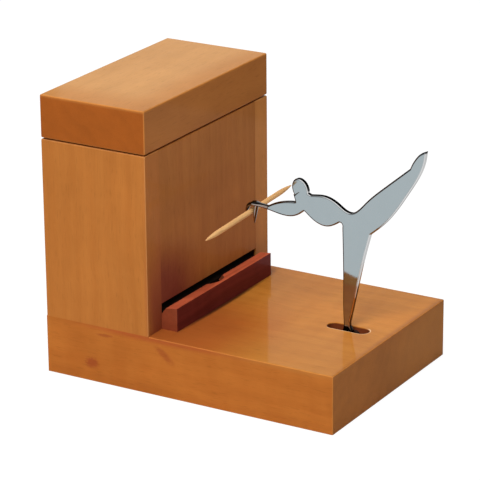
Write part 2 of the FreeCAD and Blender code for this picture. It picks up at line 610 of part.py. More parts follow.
sheet_body = body_at("figure_sheet", "0", "0", "0", node=False)
outline = sketch_in(sheet_body, "XZ_Plane")
for points in OUTLINE:
    outline.addGeometry(curve(points), False)
pad(sheet_body, outline, "sheet", both_ways=True)
head = sketch_in(sheet_body, "XZ_Plane")
lean = math.radians(HEAD["lean"])
head_centre = V(HEAD["centre"][0], HEAD["centre"][1] + LIFT, 0)
head_top = head_centre + V(-math.sin(lean), math.cos(lean), 0) * HEAD["long"]
head_side = head_centre + V(math.cos(lean), math.sin(lean), 0) * HEAD["short"]
head.addGeometry(Part.Ellipse(head_top, head_side, head_centre), False)
pad(sheet_body, head, "sheet", both_ways=True)
pad(sheet_body, circle(sheet_body, "XZ_Plane", "eye_radius"), "sheet", both_ways=True)
pad(sheet_body, polygon(sheet_body, "XZ_Plane", rectangle(
    "-tail_width / 2", f"-{TAIL_LENGTH}", "tail_width / 2", "0")), "sheet", both_ways=True)
cut_round(sheet_body, "pin_radius + fit", "sheet", ("0", "-sheet / 2", "0"), "Y")
# Jaw line, engraved in both faces
for face in ("-sheet / 2", f"sheet / 2 - {JAW['depth']}"):
    line = cut_block(sheet_body, (JAW["length"], JAW["depth"], JAW["width"]),
                     (JAW["start"][0], face, f"pivot_depth + {JAW['start'][1]}"))
    line.Placement.Rotation = FreeCAD.Rotation(V(0, -1, 0), JAW["slope"])

sections = []
for k, (x, z, down, thickness, width) in enumerate(HAND):
    ring = doc.addObject("Part::Ellipse", f"finger_{k}")
    ring.MajorRadius = width / 2
    ring.MinorRadius = thickness / 2
    angle = math.radians(down)
    path = V(-math.cos(angle), 0, -math.sin(angle))
    ring.Placement = FreeCAD.Placement(V(x, 0, z + LIFT), FreeCAD.Rotation(V(0, 1, 0), V(), path, "ZXY"))
    sections.append(ring)
finger = doc.addObject("Part::Loft", "finger")
finger.Sections = sections
finger.Solid = True
finger.Ruled = False
thumb = doc.addObject("Part::Cone", "thumb")
root = V(THUMB["root"][0], 0, THUMB["root"][1] + LIFT)
tip = V(THUMB["tip"][0], 0, THUMB["tip"][1] + LIFT)
thumb.Radius1 = THUMB["thick"]
thumb.Radius2 = THUMB["thin"]
thumb.Height = (tip - root).Length
thumb.Placement = FreeCAD.Placement(root, FreeCAD.Rotation(V(0, 0, 1), tip - root))
figure = doc.addObject("Part::MultiFuse", "figure")
figure.Shapes = [sheet_body, finger, thumb]
bind_point(figure, (PIVOT_X, "0", PIVOT_Z))
nodes.append(figure)

# Toothpick in the figure's hand, pointed at both ends

shaft = cylinder("pick_shaft", "toothpick_radius", "toothpick_length - 2 * toothpick_taper",
                 ("0", "0", "toothpick_taper - toothpick_length / 2"))
points = []
for k, (r1, r2, z) in enumerate((
        ("toothpick_tip", "toothpick_radius", "-toothpick_length / 2"),
        ("toothpick_radius", "toothpick_tip", "toothpick_length / 2 - toothpick_taper"))):
    cone = doc.addObject("Part::Cone", f"pick_point_{k}")
    bind(cone, "Radius1", r1)
    bind(cone, "Radius2", r2)
    bind(cone, "Height", "toothpick_taper")
    bind_point(cone, ("0", "0", z))
    points.append(cone)
toothpick = doc.addObject("Part::MultiFuse", "toothpick")
toothpick.Shapes = [shaft] + points
toothpick.Placement = FreeCAD.Placement(V(), FreeCAD.Rotation(V(0, 0, 1), V(*PICK["along"])))
cx, cy, cz = PICK["centre"]
bind_point(toothpick, (f"{PIVOT_X} + {cx}", f"{cy}", f"base_height + {cz}"))
nodes.append(toothpick)

# Check every object, then write each piece

doc.recompute()
for thing in doc.Objects:
    bad = [state for state in thing.State if state in ("Invalid", "Error")]
    if bad:
        raise RuntimeError(f"{thing.Name}: {bad} {thing.getStatusString()}")
os.makedirs("parts", exist_ok=True)
for node in nodes:
    node.Label = node.Name
    shape = node.Shape
    if shape.isNull() or not shape.isValid():
        raise RuntimeError(f"{node.Name}: no valid shape")
    box = shape.BoundBox
    print(f"{node.Name:22s} solids {len(shape.Solids)} volume {shape.Volume:10.2f} "
          f"X {box.XMin:7.2f} {box.XMax:7.2f} Y {box.YMin:7.2f} {box.YMax:7.2f} "
          f"Z {box.ZMin:7.2f} {box.ZMax:7.2f}")
    shape.exportStep(f"parts/{node.Name}.step")
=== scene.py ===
# %% [markdown]
# # A wooden toothpick dispenser with a tipping metal figure
# The shape was made in CAD and is loaded here as it was packed. Blender adds what CAD leaves out: the grain and
# lacquer of the wood, the polish of the metal, rounded sheet edges, threaded screws, a turned toothpick, and the light.
# The frame is in metres: X runs from the hopper to the figure, Y along the toothpicks, Z up from the table.

# %% Load the imported model
import json
import math
import bpy
import numpy as np
from mathutils import Matrix, Vector
from mathutils.geometry import delaunay_2d_cdt


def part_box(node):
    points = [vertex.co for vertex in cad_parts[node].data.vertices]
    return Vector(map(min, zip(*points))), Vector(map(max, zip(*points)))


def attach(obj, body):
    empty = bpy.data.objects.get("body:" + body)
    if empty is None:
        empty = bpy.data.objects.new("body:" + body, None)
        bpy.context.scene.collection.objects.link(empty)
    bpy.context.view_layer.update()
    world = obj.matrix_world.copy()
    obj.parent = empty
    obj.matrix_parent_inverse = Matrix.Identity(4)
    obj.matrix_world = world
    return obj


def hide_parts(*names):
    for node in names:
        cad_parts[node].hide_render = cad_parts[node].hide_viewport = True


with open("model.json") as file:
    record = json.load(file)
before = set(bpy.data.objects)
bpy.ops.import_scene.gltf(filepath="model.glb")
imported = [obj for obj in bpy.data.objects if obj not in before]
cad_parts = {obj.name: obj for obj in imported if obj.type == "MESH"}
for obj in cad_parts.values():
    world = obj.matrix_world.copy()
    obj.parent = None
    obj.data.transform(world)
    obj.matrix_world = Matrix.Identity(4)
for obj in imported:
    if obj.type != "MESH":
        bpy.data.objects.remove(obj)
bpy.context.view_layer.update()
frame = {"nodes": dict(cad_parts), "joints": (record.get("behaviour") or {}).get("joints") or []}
nodes = frame["nodes"]
MM = 0.001
base_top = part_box("base")[1].z
pivot = Vector(next(j for j in frame["joints"] if j["name"] == "figure_tilt")["pos_m"])

# %% [markdown]
# ## Camera
# The dispenser was photographed from a little above and from its near right corner, with a long lens that keeps the
# boards' edges almost parallel. A lens is easier to fit as a turntable than as a free position: a point to look at, how
# far round and how high the camera stands, and how far away. The small roll comes from a camera that stood not quite
# level.

# %% Place the camera
LOOK_AT = Vector((0.009389, -0.020299, 0.057486))
ROUND, UP, ROLL = (math.radians(angle) for angle in (30.786, 19.791, -0.5185))
DISTANCE = 0.9906
lens = bpy.data.cameras.new("long_lens")
lens.lens, lens.sensor_width = 203.2, 36
camera = bpy.data.objects.new("camera", lens)
bpy.context.scene.collection.objects.link(camera)
bpy.context.scene.camera = camera
backwards = Vector((math.sin(ROUND) * math.cos(UP), -math.cos(ROUND) * math.cos(UP), math.sin(UP)))
sideways = Vector((math.cos(ROUND), math.sin(ROUND), 0))
upwards = backwards.cross(sideways)
turned_side = math.cos(ROLL) * sideways + math.sin(ROLL) * upwards
turned_up = math.cos(ROLL) * upwards - math.sin(ROLL) * sideways
axes = Matrix((turned_side, turned_up, backwards)).transposed()
camera.matrix_world = Matrix.Translation(LOOK_AT + backwards * DISTANCE) @ axes.to_4x4()
print("camera stands at", [round(v, 3) for v in camera.matrix_world.translation])

# %% [markdown]
# ## Wiring nodes with sums
# A finish such as lacquered wood is a dozen patterns added and multiplied. Wired one node at a time that is hard to
# read, so a wire here understands + - * / and **, and each sign adds its Math node. Colours and vectors don't go
# through those signs, because a Math node turns them grey: they have mix(), vector() and scaled().

# %% A wire and the bench that nodes are wired on
class Wire:
    """One output of a node. Sums and products of wires become Math nodes."""

    def __init__(self, bench, socket):
        self.bench, self.socket = bench, socket

    def worked(self, operation, *values):
        return self.bench.node("ShaderNodeMath", {"operation": operation}, values)

    def __add__(self, other): return self.worked("ADD", self, other)
    def __sub__(self, other): return self.worked("SUBTRACT", self, other)
    def __rsub__(self, other): return self.worked("SUBTRACT", other, self)
    def __mul__(self, other): return self.worked("MULTIPLY", self, other)
    def __truediv__(self, other): return self.worked("DIVIDE", self, other)
    def __rtruediv__(self, other): return self.worked("DIVIDE", other, self)
    def __pow__(self, other): return self.worked("POWER", self, other)
    def __abs__(self): return self.worked("ABSOLUTE", self)
    __radd__, __rmul__ = __add__, __mul__

    def at_most(self, limit): return self.worked("MINIMUM", self, limit)
    def at_least(self, limit): return self.worked("MAXIMUM", self, limit)
    def fraction(self): return self.worked("FRACT", self)
    def there_and_back(self, reach): return self.worked("PINGPONG", self, reach)


class Bench:
    """A node tree in the making. node() adds any node and hands back one of its outputs."""

    def __init__(self, tree):
        self.tree = tree

    def node(self, kind, settings=(), values=(), output=0):
        made = self.tree.nodes.new(kind)
        for name, setting in dict(settings).items():
            setattr(made, name, setting)
        for name, value in (values.items() if isinstance(values, dict) else enumerate(values)):
            if isinstance(value, (Wire, list)):
                for wire in value if isinstance(value, list) else [value]:
                    self.tree.links.new(wire.socket, made.inputs[name])
            else:
                made.inputs[name].default_value = value
        return Wire(self, made.outputs[output]) if made.outputs else None

    def vector(self, operation, *values, output=0):
        return self.node("ShaderNodeVectorMath", {"operation": operation}, values, output)

    def scaled(self, vector, size):
        return self.node("ShaderNodeVectorMath", {"operation": "SCALE"}, {0: vector, 3: size})

    def join(self, x, y, z):
        return self.node("ShaderNodeCombineXYZ", values=(x, y, z))

    def parts(self, vector):
        x = self.node("ShaderNodeSeparateXYZ", values=(vector,))
        return [Wire(self, socket) for socket in x.socket.node.outputs]

    def smooth(self, value, low, high, start=0.0, end=1.0):
        """start below low, end above high, and a soft step between."""
        return self.node("ShaderNodeMapRange", {"interpolation_type": "SMOOTHSTEP"}, (value, low, high, start, end))


class Finish(Bench):
    """A material on the bench."""

    def __init__(self, name):
        self.material = bpy.data.materials.new(name)
        self.material.use_nodes = True
        super().__init__(self.material.node_tree)
        self.tree.nodes.clear()

    def place(self):
        """Where a point is on the piece, in millimetres."""
        return self.scaled(self.node("ShaderNodeTexCoord", output="Object"), 1000)

    def facing(self):
        """Which way the surface faces, along X, Y and Z."""
        return self.parts(self.node("ShaderNodeTexCoord", output="Normal"))

    def mix(self, share, first, second):
        first, second = (c if isinstance(c, Wire) else (*c, 1) for c in (first, second))
        return self.node("ShaderNodeMix", {"data_type": "RGBA"}, {0: share, 6: first, 7: second}, 2)

    def noise(self, vector, scale=1.0, detail=2.0, roughness=0.5):
        return self.node("ShaderNodeTexNoise",
                         values={"Vector": vector, "Scale": scale, "Detail": detail, "Roughness": roughness})

    def bump(self, height, strength, depth):
        return self.node("ShaderNodeBump", values={"Height": height, "Strength": strength, "Distance": depth})

    def done(self, **values):
        """Puts the values on the surface shader and hands back the material."""
        values = {name.replace("_", " "): value for name, value in values.items()}
        surface = self.node("ShaderNodeBsdfPrincipled", values=values)
        self.node("ShaderNodeOutputMaterial", values=(surface,))
        print("finish", self.material.name, "has", len(self.tree.nodes), "nodes")
        return self.material


print("a wire can be added, subtracted, multiplied, divided and raised to a power")

# %% [markdown]
# ## Table and light
# The photograph was cut out on white, with one broad soft light from the upper left. Lighting a paper until it is pure
# white would bleach the wood, so the table shows its white only to the camera and to reflections, and is plain lit
# paper for everything else: that way it still carries the dispenser's shadow and throws soft light back up.

# %% Light the room and lay the white table
def looks(bench):
    """1 where the camera, a reflection or a view through glass looks, and 0 for light that only bounces."""
    return [bench.node("ShaderNodeLightPath", output=f"Is {ray} Ray") for ray in ("Camera", "Glossy", "Transmission")]


AMBIENT = 0.22
room = bpy.data.worlds.new("white_room")
bpy.context.scene.world = room
room.use_nodes = True
room.node_tree.nodes.clear()
wall = Bench(room.node_tree)
looked_at = sum(looks(wall)).at_most(1.0)
glow = wall.node("ShaderNodeBackground", values=((1, 1, 1, 1), AMBIENT + (1 - AMBIENT) * looked_at))
wall.node("ShaderNodeOutputWorld", values=(glow,))

# The rest of what the camera sees is lit paper, which carries the shadow
SHOWN_WHITE, MIRRORED_WHITE = 0.84, 0.6
TABLE_HALF, BELOW = 4.0, -0.0002
paper = Finish("white_paper")
by_camera, by_mirror, by_glass = looks(paper)
share = by_camera * SHOWN_WHITE + by_mirror * MIRRORED_WHITE + by_glass * SHOWN_WHITE
lit = paper.node("ShaderNodeBsdfDiffuse", values=((0.86, 0.86, 0.86, 1),))
shown = paper.node("ShaderNodeEmission", values=((1, 1, 1, 1), 1.1))
paper.node("ShaderNodeOutputMaterial", values=(paper.node("ShaderNodeMixShader", values=(share, lit, shown)),))
sheet = bpy.data.meshes.new("table")
sheet.from_pydata([(x * TABLE_HALF, y * TABLE_HALF, BELOW) for x, y in ((-1, -1), (1, -1), (1, 1), (-1, 1))],
                  [], [(0, 1, 2, 3)])
sheet.materials.append(paper.material)
table = bpy.data.objects.new("table", sheet)
bpy.context.scene.collection.objects.link(table)
print("table of", 2 * TABLE_HALF, "m, room light", AMBIENT)

# %% [markdown]
# Two soft lamps are enough: a key from the camera's left and a weaker one above the back. Both are hidden from
# reflections, which would show them as hot discs in the metal. Polished metal needs something dark to mirror, or it
# looks like white plastic, so a photographer stands black cards round it. The ones here are seen by reflections only.

# %% Hang two soft lamps
LAMPS_AIM, LAMP_WIDE = Vector((0, 0, 0.05)), 0.8


def softbox(name, place, power):
    lamp = bpy.data.lights.new(name, "AREA")
    lamp.shape, lamp.size, lamp.energy = "DISK", LAMP_WIDE, power
    stand = bpy.data.objects.new(name, lamp)
    stand.location = place
    stand.rotation_euler = (LAMPS_AIM - Vector(place)).to_track_quat("-Z", "Y").to_euler()
    stand.visible_glossy = False
    bpy.context.scene.collection.objects.link(stand)
    print(name, "at", place, "with", power, "W")


softbox("key", (0.16, -0.88, 1.0), 13.2)
softbox("top_fill", (-0.35, 0.05, 1.2), 6.0)

# %% Stand black cards round the metal
CARDS = [
    (-0.02, 0.06, 0.076), (0.40, 0.06, 0.076), (0.40, 0.06, 0.60), (-0.02, 0.06, 0.60),  # behind the figure
    (-0.35, -0.13, 0.35), (0.2, -0.13, 0.35), (0.2, 0.06, 0.35), (-0.35, 0.06, 0.35),  # above
    (-0.5, -0.5, 0.0), (-0.5, 0.6, 0.0), (-0.5, 0.6, 0.45), (-0.5, -0.5, 0.45),  # left of the hopper
]
black = Finish("black_cards")
black.node("ShaderNodeOutputMaterial", values=(black.node("ShaderNodeBsdfDiffuse", values=((0.02, 0.02, 0.02, 1),)),))
boards = bpy.data.meshes.new("black_cards")
boards.from_pydata(CARDS, [], [tuple(range(start, start + 4)) for start in range(0, len(CARDS), 4)])
boards.materials.append(black.material)
cards = bpy.data.objects.new("black_cards", boards)
bpy.context.scene.collection.objects.link(cards)
for ray in ("camera", "diffuse", "transmission", "volume_scatter", "shadow"):
    setattr(cards, "visible_" + ray, False)
print(len(boards.polygons), "black cards")

# %% [markdown]
# ## Lacquered wood
# The boards are a fine, even hardwood under a honey stain and clear lacquer. A photograph of wood wrapped round a board
# shows the same grain on every face. Solid patterns are better: noise in three directions, stretched along the fibres,
# runs through the board, so a face along the grain shows streaks and a sawn end shows pores, as in the real thing.
# Mixed in where it belongs are knots, and dark and pale patches, most of which are painted shade and painted light;
# rounded edges that are paler for thin lacquer and for a painted highlight; a painted highlight on the rim of a slot;
# and painted shade on the walls of slots and gaps.

# %% Patches, paler edges, a painted rim highlight and painted shade on walls
RAGGED = 3.6  # mm by which the edge of a patch wanders
SOFT = 0.1  # mm over which the painted shade on a wall begins


def toned(colour, factor):
    return [factor * part for part in colour]


def patched_and_painted(f, place, colour, patches_and_painted_light):
    """Each patch has a centre and half sizes in mm, a turn about Y in degrees, a strength and a tint."""
    # Patches hold the knots, and also painted shade and painted light
    wander = f.noise(place, 0.9) - 0.5
    for centre, half, turn, strength, tint in patches_and_painted_light:
        spot = f.node("ShaderNodeMapping", {"vector_type": "TEXTURE"},
                      (place, centre, (0, math.radians(turn), 0), half))
        edge = f.vector("LENGTH", spot, output="Value") + RAGGED / max(half) * wander
        colour = f.mix(f.smooth(edge, 0.35, 1.15, strength, 0), colour, tint)
    return colour


def worn_and_highlit_edges(f, normal, colour, share, tint):
    """The rounded edges are paler than the flat faces: partly worn, thin lacquer, and partly a painted highlight where
    the rounding meets the light.
    """
    flattest = abs(normal[0]).at_least(abs(normal[1])).at_least(abs(normal[2]))
    return f.mix(f.smooth(flattest, 0.72, 0.985, share, 0), colour, tint)


def painted_rim_highlight(f, xyz, normal, colour, centre, straight, radius):
    """A painted highlight round a slot's eased rim, strongest on its near side and towards its right end."""
    beyond = (abs(xyz[0] - centre) - straight).at_least(0.0)
    out = (beyond ** 2 + xyz[1] ** 2) ** 0.5
    band = f.smooth(out, radius - 0.2, radius) * f.smooth(out, radius + 0.35, radius + 0.6, 1, 0)
    near_side = f.smooth(0.4 * (xyz[0] - centre) - xyz[1], -1.0, 1.0)
    return f.mix(0.8 * (band * near_side * f.smooth(normal[2], 0.2, 0.5)), colour, (0.95, 0.62, 0.34))


def within_box(f, xyz, box):
    """1 inside a box given by its lowest and highest mm along X, Y and Z, and 0 outside it."""
    return math.prod(f.smooth(side, low - SOFT, low + SOFT) * f.smooth(side, high - SOFT, high + SOFT, 1, 0)
                     for side, (low, high) in zip(xyz, box))


print("patches wander by", RAGGED, "mm, walls darken within", SOFT, "mm")

# %% Wood, from its fibres to its lacquer
RINGS, CLOUDS, GLOSS = 0.12, 0.35, 0.08


def wood(name, along, seed, light, dark, end, pith=(-60.0, 40.0), ring=7.0, streaks=0.8, curl=0.3, pores=0.12,
         fibres=0.06, coat=0.07, shine=0.0, rough=0.45, patches_and_painted_light=(), lit_top=None, shade_box=None,
         shade_tint=(0.09, 0.026, 0.011), wear_and_sheen=0.0, wear_and_sheen_tint=(0.80, 0.42, 0.17), rim=None):
    """A board that was sawn along one axis. light and dark are its streaks, end is its sawn end."""
    f = Finish(name)
    place, normal = f.place(), f.facing()
    xyz = f.parts(place)
    first = "XYZ".index(along)
    u, v, w = (xyz[(first + k) % 3] for k in range(3))

    def grain(long, wide, **settings):
        """Noise stretched to long mm along the fibres and wide mm across them."""
        return f.noise(f.join(u / long + seed, v / wide, w / wide), **settings)

    wander = grain(55, 30) - 0.5
    v, w = v + 7 * wander, w - 5 * wander
    # Yearly rings round the heart of the tree, which lay outside the board
    reach = ((v - pith[0]) ** 2 + (w - pith[1]) ** 2) ** 0.5
    year = (reach / ring + 1.5 * grain(90, 12)).fraction()
    late = f.smooth(year, 0.35, 0.85) * f.smooth(year, 0.9, 1.0, 1, 0)
    streak, ripple, fibre = grain(70, 3, detail=4), grain(8, 26), grain(16, 0.45)
    pore = f.smooth(grain(4.5, 0.42, detail=1), 0.60, 0.72)
    tone = 0.5 + streaks * (streak - 0.5) + curl * (ripple - 0.5) - RINGS * (late - 0.4)
    evened = f.smooth(tone, 0.15, 0.85)
    colour = f.mix(evened, dark, light)
    sawn = f.smooth(abs(normal[first]), 0.5, 0.95)
    colour = f.mix(sawn, colour, f.mix(f.smooth(tone, 0.2, 0.8), toned(end, 0.86), end))
    upwards = f.smooth(normal[2], 0.6, 0.95) if lit_top or shine else None
    # Painted light: faces that look up get their own, lighter tones
    if lit_top:
        colour = f.mix(upwards, colour, f.mix(evened, *lit_top))
    if patches_and_painted_light:
        colour = patched_and_painted(f, place, colour, patches_and_painted_light)
    # Rounded edges paler, partly for wear and partly as a painted highlight
    if wear_and_sheen:
        colour = worn_and_highlit_edges(f, normal, colour, wear_and_sheen, wear_and_sheen_tint)
    # A painted highlight round the slot's rim
    if rim:
        colour = painted_rim_highlight(f, xyz, normal, colour, *rim)
    # Painted shade: inside the given box the walls of slots and gaps turn dark
    if shade_box:
        colour = f.mix(within_box(f, xyz, shade_box), colour, shade_tint)
    # Stain soaks in unevenly, in soft clouds a few centimetres wide
    cloud = grain(26, 13, detail=4, roughness=0.6)
    colour = f.scaled(colour, 1 + 2 * fibres * (fibre - 0.5) - pores * pore + CLOUDS * (cloud - 0.5))
    lacquer = coat + shine * upwards if shine else coat
    if lacquer:
        lacquer = lacquer * (1 - 0.25 * pore)
    return f.done(Base_Color=colour, Roughness=rough + 0.12 * (fibre - 0.5), Specular_IOR_Level=0.02,
                  Normal=f.bump(fibre - 0.6 * pore, 0.10, 0.0001), Coat_Weight=lacquer, Coat_Roughness=GLOSS,
                  Coat_IOR=1.5)


def dress(material, *names):
    for name in names:
        for slot in nodes[name].material_slots:
            slot.material = material
    print(material.name, "on", ", ".join(names))


# %% Stain the base
TOP, NEAR, END, SLOT_X = 22.5, -44.0, 61.2, 43.6  # mm: the base's top, near side and end, and the slot's middle
BASE_KNOTS_AND_PAINTED_LIGHT = (
    # centre, half sizes, turn, strength, tint
    ((-41.4, NEAR, 7.3), (3.4, 5.0, 2.6), 0, 0.75, (0.30, 0.055, 0.014)),  # three knots on the near side
    ((-9.3, NEAR, 16.6), (5.6, 4.0, 1.7), 38, 0.55, (0.30, 0.06, 0.014)),
    ((-35.4, NEAR, 19.4), (4.0, 3.0, 0.8), -3, 0.6, (0.30, 0.06, 0.014)),
    ((-12.0, -34.0, TOP), (44.0, 48.0, 2.5), 0, 0.75, (0.37, 0.076, 0.018)),  # painted shade beside the bar, where the tower shades the top
    ((44.0, -34.0, TOP), (36.0, 34.0, 2.0), 0, 0.4, (0.42, 0.17, 0.038)),  # painted shade, duller towards the near corner
    ((END, 42.0, 11.0), (3.0, 50.0, 20.0), 0, 0.7, (0.41, 0.152, 0.027)),  # painted light, paler on the far half of the end
    ((END, 0.0, TOP), (2.4, 62.0, 1.6), 0, 0.55, (0.36, 0.115, 0.022)),  # painted shade along the end's upper edge
    ((-9.4, -0.5, TOP), (1.9, 36.0, 1.5), 0, 0.9, (0.05, 0.012, 0.006)),  # painted shadow along the bar's foot
)
# The base's top gets painted light, the slot's rim a painted highlight, and the walls of slot and pocket painted shade
dress(wood("honey_base", "X", 3.1, (0.468, 0.146, 0.023), (0.405, 0.117, 0.017), (0.39, 0.128, 0.018),
           curl=0.8, streaks=0.6, shine=0.16, lit_top=((0.54, 0.187, 0.024), (0.62, 0.238, 0.035)),
           wear_and_sheen=0.6, wear_and_sheen_tint=(0.66, 0.25, 0.06), patches_and_painted_light=BASE_KNOTS_AND_PAINTED_LIGHT, rim=(SLOT_X, 5.7, 2.9),
           shade_box=((-60, 60), (-43, 43), (-1, 22.1)), shade_tint=(0.22, 0.05, 0.016)), "base")

# %% Stain the tower's boards
# The first patch is painted shade: darker and redder low on the near board's front edge, beside the bar
SHADED_BOARD_FOOT = ((-16.1, -36.0, 38.0), (2.5, 9.5, 34.0), 0, 0.6, (0.22, 0.032, 0.036))
NEAR_EDGE = ((-16.1, -39.0, 75.0), (1.5, 9.0, 36.0), 0, 0.8, (0.46, 0.158, 0.036))
FAR_EDGE = ((-16.1, 39.0, 65.0), (1.5, 9.0, 60.0), 0, 0.8, (0.58, 0.235, 0.062))
# Inside the hopper the boards get painted shade
for board, seed, pith, edge in (("side_panel_near", 7.7, (-80, -70), NEAR_EDGE),
                                ("side_panel_far", 12.3, (-80, 90), FAR_EDGE)):
    dress(wood("honey_" + board, "Z", seed, (0.46, 0.162, 0.032), (0.41, 0.136, 0.025), (0.40, 0.13, 0.03),
               pith=pith, pores=0.1, wear_and_sheen=0.3, patches_and_painted_light=(SHADED_BOARD_FOOT, edge),
               shade_box=((-60, -17), (-34.6, 34.6), (0, 95))), board)
SHADED = ((-17.5, -37.0, 33.0), (9.0, 34.0, 26.0), 0, 0.75, (0.165, 0.019, 0.026))
dress(wood("honey_front", "Z", 18.9, (0.46, 0.168, 0.040), (0.39, 0.136, 0.031), (0.38, 0.12, 0.03),
           pith=(40, -50), ring=9, coat=0.04, patches_and_painted_light=(SHADED,)), "front_panel")
dress(wood("honey_back", "Z", 23.5, (0.46, 0.155, 0.025), (0.40, 0.13, 0.02), (0.38, 0.12, 0.03),
           pith=(-90, 60), ring=9), "back_panel")

# %% Stain the lid and the bar
LID_TOP = 109.0  # mm
# Painted shade: the lid's top turns darker towards its right and near edges
LID_TOP_EDGE_SHADE = (
    ((-12.0, 0.0, LID_TOP), (18.0, 90.0, 1.2), 0, 0.6, (0.48, 0.18, 0.04)),
    ((-38.6, -50.0, LID_TOP), (60.0, 24.0, 1.2), 0, 0.6, (0.48, 0.18, 0.04)),
)
SHADOW_GAP = ((-62, -15), (-45, 45), (91.0, 92.46))
# The lid's top gets painted light
dress(wood("honey_lid", "Y", 31.7, (0.46, 0.170, 0.040), (0.42, 0.148, 0.034), (0.355, 0.090, 0.011),
           pith=(30, -90), streaks=0.35, shine=0.08, lit_top=((0.56, 0.270, 0.086), (0.61, 0.303, 0.106)),
           wear_and_sheen=0.8, wear_and_sheen_tint=(0.60, 0.22, 0.05), patches_and_painted_light=LID_TOP_EDGE_SHADE, shade_box=SHADOW_GAP,
           shade_tint=(0.03, 0.01, 0.006)), "lid_board")
# The bar's top gets painted light: lighter tones than its sides
dress(wood("cherry_bar", "Y", 41.3, (0.18, 0.027, 0.020), (0.13, 0.019, 0.014), (0.28, 0.060, 0.024),
           streaks=1.4, curl=0.8, wear_and_sheen=0.12, lit_top=((0.45, 0.085, 0.036), (0.66, 0.14, 0.06))), "tray_bar")

# %% [markdown]
# The pieces inside are bare wood, planed or turned and left without stain. The ramp and its wedges are coloured near
# black: painted shade for the shade of the hopper that they lie in.

# %% Leave the inner pieces bare
BEECH = (0.62, 0.42, 0.22), (0.52, 0.33, 0.16), (0.5, 0.32, 0.16)
BARE = {
    # finish: along, seed, light, dark and end, roughness, pieces
    # painted shade: near black for the hopper's shade
    "dark_ramp": ("X", 51.1, ((0.016, 0.009, 0.006), (0.010, 0.006, 0.004), (0.012, 0.007, 0.005)), 0.8,
                  ("hopper_ramp", "ramp_wedges")),
    "plain_plug": ("Y", 57.1, ((0.55, 0.34, 0.16), (0.43, 0.25, 0.11), (0.4, 0.24, 0.12)), 0.6, ("lid_plug",)),
    "beech_dowel": ("Y", 61.9, BEECH, 0.6, ("front_panel_dowels", "back_panel_dowels")),
    "beech_peg": ("Z", 64.9, BEECH, 0.6, ("tray_dowels",)),
    "plain_cover": ("X", 71.3, ((0.46, 0.27, 0.12), (0.36, 0.20, 0.085), (0.3, 0.16, 0.07)), 0.6, ("pocket_cover",)),
}
for name, (along, seed, tones, rough, pieces) in BARE.items():
    dress(wood(name, along, seed, *tones, coat=0.0, rough=rough), *pieces)

# %% [markdown]
# ## Metal and plastic finishes
# The figure is polished until it mirrors the table and the boards. Its faces keep a cool, slightly clouded steel
# colour. Its rolled edges carry painted reflections in one narrow band: pale on the right, a black line along the top,
# and low on the leg the colour of the wood, where the face is warmed by a painted reflection too. Edges that face down
# or left get painted shade, and the bent hand a darker, browner painted reflection. One bump pattern does the rest: a
# faint swirl from the wheel, one engraved line, and the slight hollow that polishing by hand leaves in a face.

# %% Polish the figure
WOOD_REFLECTION_FADES = (39.0, 41.5)  # mm above the table, over which the leg's painted reflection of the base fades out
IMAGE_ENDS = 41.0
TOE_TIP = (95.1, 95.6)  # mm above the table, from where the pointed toe gets a black painted reflection
pivot_x, top_z = pivot.x / MM, base_top / MM


def engraved_line(f, place, start, slope, long):
    """A fine line from start, sloping in the XZ plane, slightly bent and thinning out along its length."""
    x, _, z = f.parts(f.vector("SUBTRACT", place, start))
    along = math.cos(slope) * x + math.sin(slope) * z
    away = abs(math.cos(slope) * z - math.sin(slope) * x + 0.05 * along * along - 0.2 * along)
    width = 0.26 - 0.17 / long * along
    ends = f.smooth(along, long - 0.2, long, 1, 0) * f.smooth(along, -1.0, -0.8)
    return f.smooth(away / width, 0.7, 1.2, 1, 0) * ends


